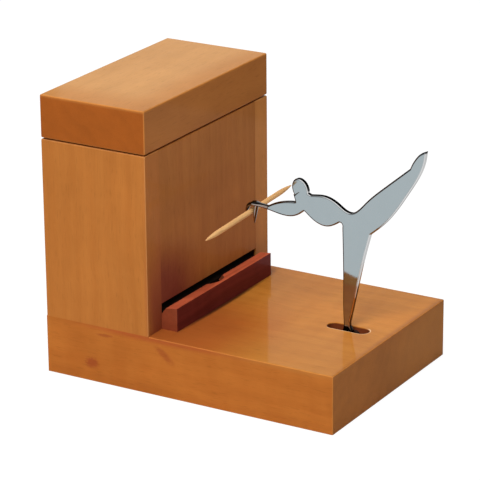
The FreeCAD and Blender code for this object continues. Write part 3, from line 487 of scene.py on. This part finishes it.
def polished(name, tint, edge_reflection_tint, engraving=None, turn=(0.86, 0.99)):
    """A mirror-polished sheet that faces Y. turn is how far its edge turns before it counts as edge."""
    f = Finish(name)
    place = f.place()
    x, _, z = f.parts(place)
    across, front, upwards = f.facing()
    flatness = abs(front)
    low = f.smooth(z, *WOOD_REFLECTION_FADES, 1, 0)
    # Edges that face up or right keep the bright painted reflection, and the others get painted shade
    bright_edges = f.smooth(upwards + 1.6 * across, 0.3, 0.8).at_least(f.smooth(across, 0.2, 0.5))
    edge = f.mix(f.smooth(across, 0.3, 0.8), edge_reflection_tint, toned(edge_reflection_tint, 0.56))
    # Painted reflection of the dark room on the upper edges: a thin black line, wider where the sheet turns away to the
    # left, and black on the pointed toe
    above = f.smooth(upwards, 0.04, 0.15)
    leftwards = f.smooth(across, -0.15, 0.1, 1, 0) * above
    thin, wide = f.smooth(flatness, 0.58, 0.9, 1, 0), f.smooth(flatness, 0.93, 0.997, 1, 0)
    dark_reflection = ((thin + (wide - thin) * leftwards) * above).at_least(f.smooth(z, *TOE_TIP))
    edge = f.scaled(edge, 1 - 0.96 * dark_reflection)
    # Painted reflection of the wood low on the leg: a peach line with a dark one outside it
    painted_wood_reflection = f.mix(f.smooth(flatness, 0.25, 0.55), (0.10, 0.055, 0.035), (0.95, 0.60, 0.42))
    edge = f.mix(low, edge, f.vector("MULTIPLY", edge, painted_wood_reflection))
    # Painted shade on the edges that look down or to the left
    edge = f.mix(f.smooth(0 - upwards, 0.42, 0.55), edge, toned(edge_reflection_tint, 0.25))
    edge = f.mix(bright_edges, toned(edge_reflection_tint, 0.14), edge)
    # Low on the leg the face gets a painted reflection of the wood, which warms its colour
    face = f.mix(low, tint, [part * warm for part, warm in zip(tint, (1.0, 0.76, 0.78))])
    is_edge = f.smooth(flatness, *turn, 1, 0).at_least(wide * leftwards)
    colour = f.mix(is_edge, face, edge)
    cloud = f.noise(place, 0.16, 3, 0.6)
    swirl = f.noise(f.vector("MULTIPLY", place, (1.0, 1.0, 6.0)), 1.5)
    # The hollow of the face, in which the mirror image of the base leans
    hollow = 0.9 * z - 0.3 * f.smooth(x, pivot_x - 2.0, pivot_x + 4.5) * (z - IMAGE_ENDS)
    height, roughness = swirl * 0.02 + hollow, 0.035 + 0.03 * cloud
    if engraving:
        line = engraved_line(f, place, *engraving)
        colour = f.mix(line, colour, (0.03, 0.028, 0.026))
        height, roughness = height - line, roughness + 0.15 * line
    # The foot turns in the shade of the slot
    colour = f.scaled(colour, (0.97 + 0.06 * cloud) * f.smooth(z, top_z, top_z + 2.0, 0.08, 1))
    return f.done(Base_Color=colour, Metallic=1.0, Normal=f.bump(height, 0.8, 0.00006), Roughness=roughness)


ENGRAVING = ((pivot_x - 22.9, 0, top_z + 47.5), math.radians(42), 3.7)
mirror = polished("mirror_polished_steel", (0.35, 0.405, 0.425), (0.90, 0.90, 0.90), ENGRAVING)
# The hand's darker, browner colour is a painted reflection of the dark tower beside it, and its edges are painted dark
hand_reflection_finish = polished("browned_hand", (0.33, 0.28, 0.25), (0.13, 0.10, 0.09), turn=(0.5, 0.92))

# %% [markdown]
# The hidden hardware is plainer. The bracket is dipped in dark lacquer, which dries to a fine orange peel and wears
# through in specks. The pin is ground, the screws are zinc-plated, and the two washers are moulded in black nylon.

# %% Plate, lacquer and mould the hardware
def plated(name, tint, rough, stretch=(1, 1, 1), bump=0.1):
    f = Finish(name)
    place = f.place()
    lines = f.noise(f.vector("MULTIPLY", place, stretch), 2.2, 3)
    return f.done(Base_Color=f.mix(f.noise(place, 0.5, 3), toned(tint, 0.82), tint), Metallic=1.0,
                  Roughness=rough + 0.18 * (lines - 0.5), Normal=f.bump(lines, bump, 0.00003))


def lacquered_steel(name, tint):
    f = Finish(name)
    place = f.place()
    orange_peel = f.noise(place, 2.5)
    wear = f.smooth(f.noise(place, 0.7, 4, 0.7), 0.62, 0.72)
    return f.done(Base_Color=f.mix(wear, tint, toned(tint, 2.6)), Roughness=0.34 + 0.15 * wear,
                  Normal=f.bump(orange_peel, 0.15, 0.00004), Coat_Weight=0.3 * (1 - wear), Coat_Roughness=0.15)


def moulded(name, tint):
    f = Finish(name)
    speck = f.noise(f.place(), 6.0)
    return f.done(Base_Color=f.mix(speck, tint, toned(tint, 1.5)), Roughness=0.55 + 0.15 * speck,
                  Normal=f.bump(speck, 0.2, 0.00003))


zinc = plated("zinc_plate", (0.62, 0.61, 0.56), 0.30, bump=0.15)
dress(lacquered_steel("dark_lacquer", (0.022, 0.016, 0.014)), "pivot_bracket")
dress(plated("ground_pin", (0.56, 0.56, 0.57), 0.25, (1, 8, 1)), "pivot_pin")
dress(moulded("black_nylon", (0.018, 0.018, 0.018)), "friction_washers")

# %% [markdown]
# ## Metal figure
# It is one piece of 2 mm sheet, cut to a silhouette, its edges rolled over by the polishing wheel, with the end of the
# arm bent into a finger and a thumb. A bevel modifier gives up at the pointed toe. Here each point of the outline is
# moved inwards only until it would meet the other side, so the rounding thins out in the tips as polished metal does.

# %% The silhouette, in mm from the pivot along X and above the base's top
SILHOUETTE = [
    [(-2.5, -4.5), (-2.3, -2.0), (-1.8, 0.0), (-1.75, 4.0), (-1.95, 17.0), (-2.4, 39.1)],
    [(-2.4, 39.1), (-2.6, 40.6), (-3.4, 41.0)],
    [(-3.4, 41.0), (-5.1, 39.9), (-8.6, 38.5), (-11.9, 38.8), (-15.1, 40.4), (-18.3, 42.9)],
    [(-18.3, 42.9), (-21.0, 40.9), (-24.3, 39.8), (-26.7, 39.7), (-31.0, 40.3), (-34.2, 40.9)],
    [(-34.2, 40.9), (-34.2, 42.2)],
    [(-34.2, 42.2), (-31.0, 43.9), (-28.3, 44.9), (-25.0, 45.6), (-22.0, 45.9)],
    [(-22.0, 45.9), (-22.9, 48.6)],
    [(-15.6, 49.6), (-13.4, 49.9), (-10.9, 50.1), (-8.0, 49.7), (-3.8, 47.7), (-0.9, 45.9),
     (1.5, 45.5), (3.8, 46.8), (7.2, 50.4), (14.6, 57.3), (25.0, 66.2)],
    [(25.0, 66.2), (25.6, 67.6), (27.2, 70.3), (29.0, 72.3), (31.5, 73.6)],
    [(31.5, 73.6), (31.1, 70.2), (30.2, 66.9), (29.1, 64.3), (27.6, 61.5), (25.4, 57.9), (20.5, 50.3),
     (15.3, 43.7), (9.4, 38.4)],
    [(9.4, 38.4), (7.75, 32.4), (5.6, 23.6), (4.3, 17.6), (2.3, 8.2), (1.0, 2.2)],
    [(1.0, 2.2), (1.25, 0.8), (1.9, -0.3), (2.3, -2.0), (2.5, -4.5)],
]
BELOW_HEAD = 7  # the first seven lines run from the foot up to the head, and the others from there back to the foot
HEAD, HEAD_LONG, HEAD_SHORT, HEAD_LEAN = np.array((-20.0, 51.0)), 4.3, 3.3, math.radians(23.0)
STEP = 0.35


def smooth_line(points, step=STEP):
    """Points along the natural cubic spline through the given ones, step mm apart."""
    p = np.array(points, float)
    gaps = np.linalg.norm(np.diff(p, axis=0), axis=1)
    t = np.concatenate(([0], np.cumsum(gaps)))
    n = len(p)
    grid, right = np.eye(n), np.zeros_like(p)
    for k in range(1, n - 1):
        grid[k, k - 1:k + 2] = gaps[k - 1], 2 * (gaps[k - 1] + gaps[k]), gaps[k]
        right[k] = 6 * ((p[k + 1] - p[k]) / gaps[k] - (p[k] - p[k - 1]) / gaps[k - 1])
    bend = np.linalg.solve(grid, right)
    at = np.linspace(0, t[-1], max(2, round(t[-1] / step) + 1))
    k = np.clip(np.searchsorted(t, at, side="right") - 1, 0, n - 2)
    a, b, h = (t[k + 1] - at)[:, None], (at - t[k])[:, None], gaps[k][:, None]
    bent_part = (bend[k] * a ** 3 + bend[k + 1] * b ** 3) / (6 * h)
    return bent_part + (p[k] / h - bend[k] * h / 6) * a + (p[k + 1] / h - bend[k + 1] * h / 6) * b


lean = np.array([[math.cos(HEAD_LEAN), math.sin(HEAD_LEAN)], [-math.sin(HEAD_LEAN), math.cos(HEAD_LEAN)]])
turn = np.linspace(-2.9, 2.9, 72)[:, None]
head = HEAD + np.sin(turn) * HEAD_SHORT * lean[0] + np.cos(turn) * HEAD_LONG * lean[1]
lines = [smooth_line(points) for points in SILHOUETTE]
trunk = np.concatenate(lines[:BELOW_HEAD] + [[(-19.5, 51.0)]] + lines[BELOW_HEAD:])
print("silhouette has", len(trunk), "points, and the head", len(head))

# %% Join the head, and the eye with its tail, to it as one closed line
EYE, EYE_RADIUS, PIN_HOLE, TAIL_HALF, TAIL_END = np.array((0.0, -3.5)), 3.1, 1.3, 1.5, -15.1
CLOSEST = 0.08


def crossing(a, b, c, d):
    """Where the line from a to b meets the one from c to d, as shares along both, or None."""
    u, v, w = b - a, d - c, c - a
    cross = u[0] * v[1] - u[1] * v[0]
    if abs(cross) < 1e-12:
        return None
    s, t = (w[0] * v[1] - w[1] * v[0]) / cross, (w[0] * u[1] - w[1] * u[0]) / cross
    return (s, t) if 0 <= s <= 1 and 0 <= t <= 1 else None


def joined(path, detour):
    """path with its run between the first and last meeting with detour replaced by detour."""
    hits = [(i + h[0], j + h[1]) for i in range(len(path) - 1) for j in range(len(detour) - 1)
            if (h := crossing(path[i], path[i + 1], detour[j], detour[j + 1]))]
    (i0, j0), (i1, j1) = min(hits), max(hits)
    enter, leave = (path[int(i)] + (i % 1) * (path[int(i) + 1] - path[int(i)]) for i in (i0, i1))
    return np.concatenate([path[:int(i0) + 1], [enter], detour[int(j0) + 1:int(j1) + 1], [leave], path[int(i1) + 1:]])


turn = np.linspace(math.radians(60), math.radians(-240), 60)[:, None]
rim = EYE + EYE_RADIUS * np.concatenate([np.cos(turn), np.sin(turn)], axis=1)
drop = math.sqrt(EYE_RADIUS ** 2 - TAIL_HALF ** 2)
down, over = np.linspace(EYE[1] - drop, TAIL_END, 24), rim[:, 1] > EYE[1]
tail = np.array([(TAIL_HALF, z) for z in down] + [(-TAIL_HALF, z) for z in down[::-1]])
foot = np.concatenate([rim[(rim[:, 0] > TAIL_HALF) | (over & (rim[:, 0] > 0))], tail,
                       rim[(rim[:, 0] < -TAIL_HALF) | (over & (rim[:, 0] < 0))]])
body = joined(trunk, head)
body = joined(np.roll(body, -(len(body) // 2), axis=0), foot)
outline = [body[0]]
for point in body[1:]:
    if np.linalg.norm(point - outline[-1]) > CLOSEST:
        outline.append(point)
outline = np.array(outline)
print("closed outline has", len(outline), "points, box", outline.min(0).round(2), outline.max(0).round(2))

# %% Which way is in, and how far the edge may roll there
THICK, ROLLED, ROLL_STEPS = 2.0, 0.6, 7
FILLS = 0.97  # the share of the room inside that the rounding may take
TINY = 1e-6


def unit(rows):
    return rows / np.linalg.norm(rows, axis=1)[:, None]


tangent = unit(outline - np.roll(outline, 1, axis=0)) + unit(np.roll(outline, -1, axis=0) - outline)
inward = unit(np.stack([tangent[:, 1], -tangent[:, 0]], axis=1))
# The largest circle that touches the outline at a point from inside, and meets no other point of it
apart = outline[None] - outline[:, None]
ahead = (apart * inward[:, None]).sum(2)
room_inside = np.where(ahead > TINY, (apart ** 2).sum(2) / np.maximum(2 * ahead, TINY), np.inf).min(1)
print("room inside the edge from", room_inside.min().round(3), "mm")

# %% Roll the edges
vertices, faces, rings = [], [], {-1: [], 1: []}
count = len(outline)


def band(a, b, count):
    """Faces between two rings of count points, which start at a and b."""
    return [(a + i, a + (i + 1) % count, b + (i + 1) % count, b + i) for i in range(count)]


for side in rings:
    for angle in np.linspace(0, math.pi / 2, ROLL_STEPS):
        depth = np.minimum(ROLLED * (1 - math.cos(angle)), FILLS * room_inside)
        lift = THICK / 2 - ROLLED + np.sqrt(np.maximum(ROLLED ** 2 - (ROLLED - depth) ** 2, 0))
        ring = outline + inward * depth[:, None]
        rings[side].append(len(vertices))
        vertices += [(x, side * y, z) for (x, z), y in zip(ring, lift)]
for k in range(ROLL_STEPS - 1):
    faces += band(rings[-1][k], rings[-1][k + 1], count) + band(rings[1][k + 1], rings[1][k], count)
faces += band(rings[1][0], rings[-1][0], count)
flat = [False] * len(faces)
print("rolled edge has", len(faces), "faces")

# %% Close both faces round the pin's hole
ROUND_HOLE = 32
around = np.linspace(0, 2 * math.pi, ROUND_HOLE, endpoint=False)
circle = EYE + PIN_HOLE * np.array([(math.cos(a), math.sin(a)) for a in around])
points, _, triangles, sources, _, _ = delaunay_2d_cdt(
    [Vector(p) for p in np.concatenate([ring, circle])], [],
    [list(range(count - 1, -1, -1)), list(range(count, count + ROUND_HOLE))], 1, 1e-7)
hole = {}
for side in rings:
    hole[side] = len(vertices)
    vertices += [(x, side * THICK / 2, z) for x, z in circle]
    own = [(rings[side][-1] + old[0] if old[0] < count else hole[side] + old[0] - count) if old else None
           for old in sources]
    for triangle in triangles:
        centre = sum((points[k] for k in triangle), Vector((0, 0))) / 3
        corners = tuple(own[k] for k in triangle)
        if (centre - Vector(EYE)).length < PIN_HOLE * 0.98 or None in corners:
            continue
        a, b, c = (Vector(vertices[k]) for k in corners)
        faces.append(corners if (b - a).cross(c - a).y * side > 0 else corners[::-1])
        flat.append(True)
faces += band(hole[-1], hole[1], ROUND_HOLE)
flat += [False] * ROUND_HOLE
sheet_faces = len(faces)
print("sheet has", len(vertices), "points and", sheet_faces, "faces")

# %% Bend the finger and thumb
FINGER = np.array([
    # x, z, angle down, thickness, width, squareness
    (-33.4, 41.55, 0, 1.5, 1.9, 4.0),
    (-35.8, 41.8, 0, 1.5, 2.1, 2.8),
    (-38.2, 42.1, 5, 1.5, 3.1, 2.2),
    (-40.6, 42.1, 35, 1.6, 3.5, 2.0),
    (-42.4, 40.8, 65, 1.4, 3.0, 2.0),
    (-43.2, 38.9, 80, 0.8, 1.9, 2.0),
])
THUMB = np.array([
    (-39.1, 41.8, 88, 1.9, 2.2, 2.0),
    (-39.4, 39.5, 86, 1.5, 2.0, 2.0),
    (-39.7, 36.8, 84, 1.0, 1.5, 2.0),
    (-39.9, 34.3, 84, 0.3, 0.4, 2.0),
])
ROUNDED_TIP = [0.93, 0.75, 0.4]
ROUND_LIMB = 28


def limb(sections):
    """Adds a closed tube through oval sections that turn from square to round."""
    line = smooth_line(sections, 0.3)
    starts = []
    sizes = [1.0] * (len(line) - len(ROUNDED_TIP)) + ROUNDED_TIP
    for (x, z, down, thick, wide, square), size in zip(line, sizes):
        lie = Vector((-math.sin(math.radians(down)), 0, math.cos(math.radians(down))))
        starts.append(len(vertices))
        for a in np.linspace(0, 2 * math.pi, ROUND_LIMB, endpoint=False):
            c, s = (math.copysign(abs(q) ** (2 / square), q) for q in (math.cos(a), math.sin(a)))
            point = Vector((x, 0, z)) + lie * (s * thick / 2 * size) + Vector((0, c * wide / 2 * size, 0))
            vertices.append(tuple(point))
    for a, b in zip(starts, starts[1:]):
        for i in range(ROUND_LIMB):
            j = (i + 1) % ROUND_LIMB
            faces.append((a + i, b + i, b + j, a + j))
            flat.append(False)
    faces.append(tuple(starts[0] + i for i in range(ROUND_LIMB)))
    faces.append(tuple(starts[-1] + i for i in reversed(range(ROUND_LIMB))))
    flat.extend([True, False])


limb(FINGER)
limb(THUMB)
print("finger and thumb add", len(faces) - sheet_faces, "faces")

# %% Hand the figure over
shape = bpy.data.meshes.new("metal_figure")
origin = Vector((pivot.x, 0, base_top))
shape.from_pydata([tuple(origin + Vector(p) * MM) for p in vertices], [], faces)
shape.polygons.foreach_set("use_smooth", [not f for f in flat])
shape.materials.append(mirror)
shape.materials.append(hand_reflection_finish)
shape.polygons.foreach_set("material_index", [int(k >= sheet_faces) for k in range(len(faces))])
shape.validate()
shape.update()
figure = bpy.data.objects.new("metal_figure", shape)
bpy.context.scene.collection.objects.link(figure)
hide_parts("figure")
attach(figure, "tipping_figure")
print("figure has", len(shape.polygons), "faces")

# %% [markdown]
# ## Toothpick
# A round toothpick is a straight birch rod pointed at both ends. Its shape follows one rule, the radius along its
# length, so Geometry Nodes make it: a line is divided, each division gets its radius, and a circle is swept along it.

# %% Geometry Nodes: a bench with named inputs
class Jig(Bench):
    """A Geometry Nodes tree with named inputs, used once and turned into a plain mesh."""

    def __init__(self, name, **inputs):
        super().__init__(bpy.data.node_groups.new(name, "GeometryNodeTree"))
        self.names = {}
        for label, kind in {"Geometry": "Geometry", **inputs}.items():
            made = self.tree.interface.new_socket(label, in_out="INPUT", socket_type="NodeSocket" + kind)
            self.names[label] = made.identifier
        self.tree.interface.new_socket("Geometry", in_out="OUTPUT", socket_type="NodeSocketGeometry")
        self.start = self.tree.nodes.new("NodeGroupInput")

    def size(self, label):
        return Wire(self, self.start.outputs[label])

    def line(self, start, end, count):
        whole = self.node("GeometryNodeCurvePrimitiveLine", values={"Start": start, "End": end})
        return self.node("GeometryNodeResampleCurve", values={"Curve": whole, "Count": count})

    def swept(self, line, radius, sides):
        """A closed round bar along a line, with its own radius at each point."""
        ring = self.node("GeometryNodeCurvePrimitiveCircle", values={"Resolution": sides, "Radius": 1.0})
        return self.node("GeometryNodeCurveToMesh",
                         values={"Curve": line, "Profile Curve": ring, "Scale": radius, "Fill Caps": True})

    def finished(self, geometry):
        """Ends the tree in real geometry with its material."""
        real = self.node("GeometryNodeRealizeInstances", values=(geometry,))
        dressed = self.node("GeometryNodeSetMaterial", values={"Geometry": real, "Material": self.size("Finish")})
        self.node("NodeGroupOutput", values=(dressed,))

    def make(self, name, points, **values):
        """Runs the tree on loose points and returns the result as a plain mesh object."""
        seeds = bpy.data.meshes.new(name + "_points")
        seeds.from_pydata([tuple(p) for p in points], [], [])
        carrier = bpy.data.objects.new(name + "_points", seeds)
        bpy.context.scene.collection.objects.link(carrier)
        modifier = carrier.modifiers.new("jig", "NODES")
        modifier.node_group = self.tree
        for label, value in values.items():
            modifier[self.names[label]] = value
        bpy.context.view_layer.update()
        graph = bpy.context.evaluated_depsgraph_get()
        plain = bpy.data.meshes.new_from_object(carrier.evaluated_get(graph))
        carrier.modifiers.remove(modifier)
        bpy.data.objects.remove(carrier)
        plain.name = name
        piece = bpy.data.objects.new(name, plain)
        bpy.context.scene.collection.objects.link(piece)
        print(name, "made:", len(plain.vertices), "points,", len(plain.polygons), "faces")
        return piece


# %% The toothpick's rule: slim tips that swell to a straight rod
pick_jig = Jig("turned_pick", Start="Vector", End="Vector", Radius="Float", Tip="Float", Pointed="Float",
               Finish="Material")
radius, tip = pick_jig.size("Radius"), pick_jig.size("Tip")
line = pick_jig.line(pick_jig.size("Start"), pick_jig.size("End"), 140)
along = pick_jig.node("GeometryNodeSplineParameter", output="Length")
whole = pick_jig.node("GeometryNodeSplineLength", output="Length")
near_end = (along.at_most(whole - along) / pick_jig.size("Pointed")).at_most(1.0)
full = (1 - (1 - near_end) ** 1.8) ** 0.9
pick_jig.finished(pick_jig.swept(line, tip + (radius - tip) * full, 24))
print("pick jig has", len(pick_jig.tree.nodes), "nodes")

# %% Turn the toothpick and lay it in the hand
PICK_LONG, PICK_RADIUS, PICK_TIP, PICK_POINTED = 65.0, 1.0, 0.16, 10.0
middle = origin + Vector((-41.3, -1.3, 38.76)) * MM
lies = Vector((-0.02, 1.0, 0.027)).normalized()
reach = lies * PICK_LONG / 2 * MM
pick_wood = wood("birch_pick", "Y", 81.7, (0.80, 0.47, 0.20), (0.70, 0.37, 0.14), (0.55, 0.28, 0.12), coat=0.0,
                 rough=0.5, fibres=0.2, ring=2.0)
pick = pick_jig.make("round_toothpick", [(0, 0, 0)], Start=middle - reach, End=middle + reach,
                     Radius=PICK_RADIUS * MM, Tip=PICK_TIP * MM, Pointed=PICK_POINTED * MM, Finish=pick_wood)
pick.data.polygons.foreach_set("use_smooth", [True] * len(pick.data.polygons))
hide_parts("toothpick")
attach(pick, "tipping_figure")

# %% [markdown]
# ## Screws
# Twelve screws hold the boards, the lid's block, the bracket and the cover. One rule makes them all: a pointed shank
# with a thread that climbs one pitch each turn, and a domed head with a cross cut into it. The tree makes one screw and
# sets a copy on each point, turned by a seeded random angle, because nobody lines screws up.

# %% The shank and its thread
jig = Jig("wood_screw", Shank="Float", Length="Float", Head="Float", Height="Float", Pitch="Float", Seed="Int",
          Finish="Material")
shank, length, head, height = (jig.size(label) for label in ("Shank", "Length", "Head", "Height"))
line = jig.line((0, 0, 0), jig.join(0.0, 0.0, length), 120)
left = jig.node("GeometryNodeSplineLength", output="Length") - jig.node("GeometryNodeSplineParameter", output="Length")
rod = jig.swept(line, 0.74 * shank * (0.08 + 0.92 * (left / (2.2 * shank)).at_most(1.0)), 20)
x, y, z = jig.parts(jig.node("GeometryNodeInputPosition"))
turned = x.worked("ARCTAN2", y, x) / (2 * math.pi)
climb = (z / jig.size("Pitch") - turned).there_and_back(0.5) * 2
# The thread is highest along the shank and fades out in the last 4 mm
tall = 0.26 * shank * climb ** 3 * jig.smooth(length - z, 0.0, 4.0 * MM)
outwards = jig.vector("NORMALIZE", jig.join(x, y, 0.0))
rod = jig.node("GeometryNodeSetPosition", values={"Geometry": rod, "Offset": jig.scaled(outwards, tall)})
print("screw jig has", len(jig.tree.nodes), "nodes with the shank")

# %% The head with its cross, and a copy on every point
dome = jig.line((0, 0, 0), jig.join(0.0, 0.0, 0 - height), 12)
fall = jig.node("GeometryNodeSplineParameter", output="Factor")
cap = jig.swept(dome, head * (1 - 0.32 * fall ** 2.6), 40)
arms = []
CROSS_LONG, CROSS_WIDE = 1.1, 0.26  # as shares of the head
for long_x, long_y in ((CROSS_LONG, CROSS_WIDE), (CROSS_WIDE, CROSS_LONG)):
    bar = jig.node("GeometryNodeMeshCube", values={"Size": jig.join(long_x * head, long_y * head, height)})
    sunk = {"Geometry": bar, "Translation": jig.join(0.0, 0.0, 0 - height)}
    arms.append(jig.node("GeometryNodeTransform", values=sunk))
crossed = jig.node("GeometryNodeMeshBoolean", {"operation": "DIFFERENCE"}, (cap, arms))
screw = jig.node("GeometryNodeJoinGeometry", values=([rod, crossed],))
angle = jig.node("FunctionNodeRandomValue", {"data_type": "FLOAT"},
                 {2: 0.0, 3: 2 * math.pi, "Seed": jig.size("Seed")}, 1)
copies = {"Points": jig.size("Geometry"), "Instance": screw, "Rotation": jig.join(0.0, 0.0, angle)}
jig.finished(jig.node("GeometryNodeInstanceOnPoints", values=copies))
print("screw jig has", len(jig.tree.nodes), "nodes in all")

# %% Drive the screws of each board
SCREWS = {
    # node: body, points in mm, shank, length, head, height, pitch
    "tower_screws": ("stand", [(x, y, 5.0) for x in (-50.2, -27.1) for y in (-39.25, 39.25)],
                     1.75, 34.0, 3.5, 2.2, 1.4),
    "bracket_screws": ("stand", [(SLOT_X + x, y, 10.0) for x in (-7, 7) for y in (-6.2, 6.2)],
                       1.0, 7.5, 1.9, 1.3, 0.8),
    "cover_screws": ("stand", [(SLOT_X, y, 1.35) for y in (-13.5, 13.5)], 1.0, 7.15, 1.9, 1.3, 0.8),
    "lid_screws": ("lid", [(-38.65, y, 88.8) for y in (-20, 20)], 1.5, 11.2, 3.0, 1.3, 1.2),
}
SHARP = math.radians(35)
for seed, (name, (body_name, points, *sizes)) in enumerate(SCREWS.items()):
    sizes = {label: size * MM for label, size in zip(("Shank", "Length", "Head", "Height", "Pitch"), sizes)}
    screws = jig.make("driven_" + name, [Vector(p) * MM for p in points], **sizes, Seed=seed, Finish=zinc)
    screws.data.shade_smooth()
    screws.data.set_sharp_from_angle(angle=SHARP)
    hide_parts(name)
    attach(screws, body_name)

# %% [markdown]
# ## Last look
# View settings stay plain, so that a colour on the wood is the colour in the picture.

# %% Set the view
bpy.context.scene.view_settings.view_transform = "Standard"
bpy.context.view_layer.update()
